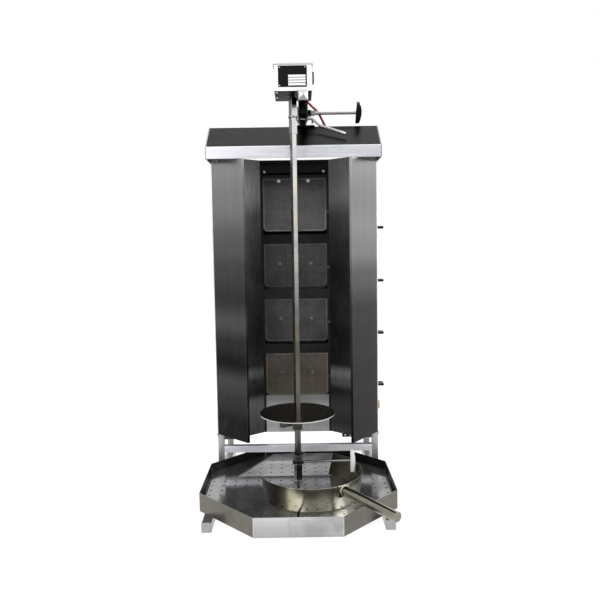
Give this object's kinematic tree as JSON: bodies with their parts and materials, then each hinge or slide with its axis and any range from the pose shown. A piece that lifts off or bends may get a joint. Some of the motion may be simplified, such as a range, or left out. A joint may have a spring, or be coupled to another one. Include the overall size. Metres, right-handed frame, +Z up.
{
  "type": "gas kebab grill with turning spit",
  "caption": "Upright gas grill with a turning spit, wall of infrared burners, folding side doors, hood, motor head, octagonal drip tray with perforated floor and a loose meat scoop.",
  "frame": {"origin": "middle of the footprint on the floor, cord left out", "axes": "+X to the right seen from the front, +Y to the back where the burners are, +Z up along the spit"},
  "size_m": [0.543, 0.9655, 1.163],
  "materials": {
    "frame_steel": "satin square tube",
    "tray_steel": "satin sheet, bright rim",
    "floor_steel": "satin perforated sheet with fat stains",
    "reflector_steel": "polished sheet, heat hazed",
    "panel_steel": "brushed sheet",
    "dark_steel": "dark heat-stained sheet",
    "burner_metal": "dark oxidised metal",
    "burner_mesh": "dark woven wire over ceramic tiles",
    "gas_brass": "dull brass and zinc fittings",
    "knob_black": "matt black",
    "hood_steel": "dark reflecting sheet with a bright front band",
    "door_steel": "brushed sheet",
    "head_steel": "bright satin",
    "arm_steel": "bright satin square tube",
    "clamp_steel": "bright turned steel",
    "grip_black": "black moulded grip",
    "grip_light": "pale moulded grip",
    "spit_steel": "stainless, faint straw tint",
    "plate_steel": "polished plate",
    "bearing_steel": "satin",
    "scoop_steel": "satin with straw heat tint",
    "switch_black": "black rocker",
    "cord_red": "red silicone",
    "gland_black": "black",
    "plug_black": "black moulded"
  },
  "bodies": {
    "frame": {"base_rail_left": "frame_steel", "base_rail_right": "frame_steel", "front_post_left": "frame_steel", "front_post_right": "frame_steel", "rear_post_left": "frame_steel", "rear_post_right": "frame_steel", "front_crossbar": "frame_steel", "rear_crossbar": "frame_steel", "drip_tray": "tray_steel", "floor_plate_left": "floor_steel", "floor_plate_right": "floor_steel", "side_panel_left": "panel_steel", "side_panel_right": "panel_steel", "rear_cover": "panel_steel", "reflector_left": "reflector_steel", "reflector_right": "reflector_steel", "burner_rack": "dark_steel", "bottom_panel": "panel_steel", "header_panel": "dark_steel", "gas_manifold": "gas_brass", "burner_1": "burner_metal", "burner_2": "burner_metal", "burner_3": "burner_metal", "burner_4": "burner_metal", "mesh_guard_1": "burner_mesh", "mesh_guard_2": "burner_mesh", "mesh_guard_3": "burner_mesh", "mesh_guard_4": "burner_mesh", "hood": "hood_steel", "arm_column": "dark_steel", "arm_guide": "dark_steel", "supply_cord": "cord_red", "cord_coil": "cord_red", "plug": "plug_black"},
    "motor_head": {"motor_arm": "arm_steel", "motor_housing": "head_steel", "motor_lid": "head_steel", "cable_gland": "gland_black"},
    "rocker": {"power_switch": "switch_black"},
    "spindle": {"drive_shaft": "dark_steel", "spit": "spit_steel"},
    "sleeve": {"drive_sleeve": "spit_steel"},
    "plate": {"meat_plate": "plate_steel"},
    "plate_wing": {"plate_screw": "clamp_steel"},
    "lever": {"release_lever": "clamp_steel"},
    "upper_clamp": {"upper_clamp_rod": "clamp_steel", "upper_clamp_grip": "grip_black"},
    "bearing": {"bearing_support": "bearing_steel", "bearing_cup": "bearing_steel"},
    "lower_clamp": {"lower_clamp_rod": "clamp_steel", "lower_clamp_grip": "grip_light"},
    "left_door": {"door_left": "door_steel"},
    "right_door": {"door_right": "door_steel"},
    "scoop": {"scoop_wall": "scoop_steel", "scoop_handle": "scoop_steel"},
    "tap_1": {"tap_knob_1": "knob_black"},
    "tap_2": {"tap_knob_2": "knob_black"},
    "tap_3": {"tap_knob_3": "knob_black"},
    "tap_4": {"tap_knob_4": "knob_black"}
  },
  "joints": [
    {"name": "head_slide", "type": "slide", "parent": "frame", "child": "motor_head", "axis": [0, 1, 0], "range_m": [-0.08, 0]},
    {"name": "bearing_slide", "type": "slide", "parent": "frame", "child": "bearing", "axis": [0, 1, 0], "range_m": [-0.08, 0]},
    {"name": "spit_turn", "type": "hinge", "parent": "motor_head", "child": "spindle", "pos_m": [-0.011, -0.03986, 1.094], "axis": [0, 0, 1], "continuous": true},
    {"name": "sleeve_lift", "type": "slide", "parent": "spindle", "child": "sleeve", "axis": [0, 0, 1], "range_m": [0, 0.017]},
    {"name": "lever_swing", "type": "hinge", "parent": "motor_head", "child": "lever", "pos_m": [0.016, 0.08414, 1.06], "axis": [1, 0, 0], "range_deg": [-7.4, 0]},
    {"name": "plate_slide", "type": "slide", "parent": "spindle", "child": "plate", "axis": [0, 0, 1], "range_m": [-0.06, 0.5]},
    {"name": "plate_screw_turn", "type": "hinge", "parent": "plate", "child": "plate_wing", "pos_m": [-0.024, -0.03986, 0.216], "axis": [1, 0, 0], "range_deg": [-180, 180]},
    {"name": "upper_clamp_turn", "type": "hinge", "parent": "frame", "child": "upper_clamp", "pos_m": [0.04, 0.11214, 1.0815], "axis": [1, 0, 0], "range_deg": [-180, 180]},
    {"name": "lower_clamp_turn", "type": "hinge", "parent": "bearing", "child": "lower_clamp", "pos_m": [0.004, -0.03986, 0.114], "axis": [1, 0, 0], "range_deg": [-50, 0]},
    {"name": "left_door_swing", "type": "hinge", "parent": "frame", "child": "left_door", "pos_m": [-0.243, 0.09814, 0.546], "axis": [0, 0, 1], "range_deg": [-92, 43]},
    {"name": "right_door_swing", "type": "hinge", "parent": "frame", "child": "right_door", "pos_m": [0.221, 0.09814, 0.546], "axis": [0, 0, 1], "range_deg": [-51.7, 83]},
    {"name": "rocker_tilt", "type": "hinge", "parent": "motor_head", "child": "rocker", "pos_m": [0.037, -0.04786, 1.134], "axis": [0, 1, 0], "range_deg": [-12, 0]},
    {"name": "scoop_pull", "type": "slide", "parent": "frame", "child": "scoop", "axis": [0.5736, -0.8192, 0], "range_m": [0, 0.045]},
    {"name": "tap_1_turn", "type": "hinge", "parent": "frame", "child": "tap_1", "pos_m": [0.229, 0.26914, 0.2583], "axis": [1, 0, 0], "range_deg": [0, 90]},
    {"name": "tap_2_turn", "type": "hinge", "parent": "frame", "child": "tap_2", "pos_m": [0.229, 0.26914, 0.4256], "axis": [1, 0, 0], "range_deg": [0, 90]},
    {"name": "tap_3_turn", "type": "hinge", "parent": "frame", "child": "tap_3", "pos_m": [0.229, 0.26914, 0.5929], "axis": [1, 0, 0], "range_deg": [0, 90]},
    {"name": "tap_4_turn", "type": "hinge", "parent": "frame", "child": "tap_4", "pos_m": [0.229, 0.26914, 0.7602], "axis": [1, 0, 0], "range_deg": [0, 90]}
  ],
  "couplings": [
    {"joint": "bearing_slide", "follows": "head_slide", "ratio": 1},
    {"joint": "sleeve_lift", "follows": "lever_swing", "m_per_rad": -0.131}
  ]
}
